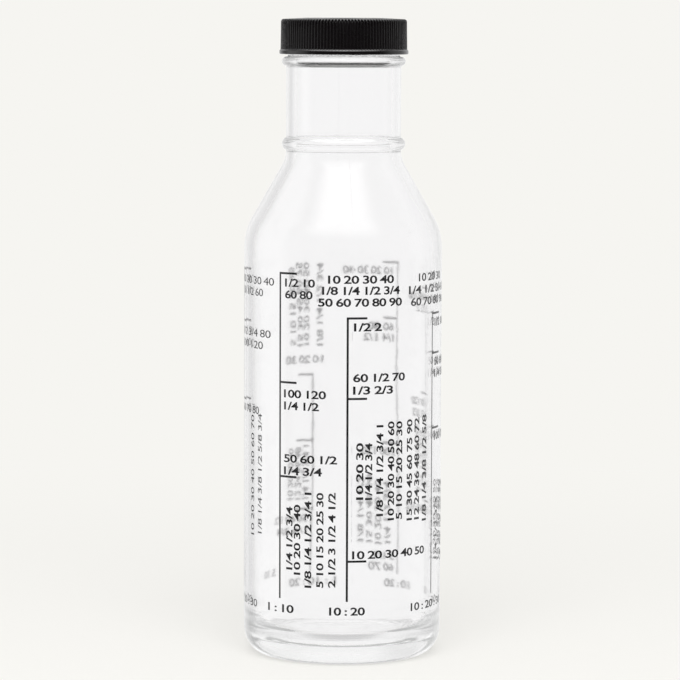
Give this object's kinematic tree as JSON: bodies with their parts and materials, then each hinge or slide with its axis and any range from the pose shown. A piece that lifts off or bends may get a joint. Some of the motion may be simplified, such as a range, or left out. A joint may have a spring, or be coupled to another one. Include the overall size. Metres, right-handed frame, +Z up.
{
  "type": "salad dressing shaker bottle",
  "caption": "Clear glass dressing bottle with a straight body, sloped shoulder, long neck, support ring and ribbed black screw cap.",
  "frame": {"origin": "middle of the base, in the plane of the bearing ring that the bottle stands on", "axes": "+Z up along the bottle's axis, towards the cap; +X to the right of the pictured side, which faces -Y"},
  "size_m": [0.0616, 0.0616, 0.1982],
  "materials": {
    "clear_glass": "fire-polished, clear",
    "black_cap": "satin, ribbed skirt",
    "liner_foam": "fine closed-cell foam",
    "print_ink": "fired black ink"
  },
  "bodies": {
    "bottle": {"bottle": "clear_glass"},
    "liner": {"cap_liner": "liner_foam"},
    "cap": {"cap": "black_cap"}
  },
  "joints": [
    {"name": "cap_rise", "type": "slide", "parent": "bottle", "child": "liner", "axis": [0, 0, 1], "range_m": [0, 0.0128]},
    {"name": "cap_turn", "type": "hinge", "parent": "liner", "child": "cap", "pos_m": [0, 0, 0.187], "axis": [0, 0, 1], "range_deg": [0, 1080]}
  ],
  "couplings": [
    {"joint": "cap_rise", "follows": "cap_turn", "m_per_rad": 0.00067375}
  ]
}
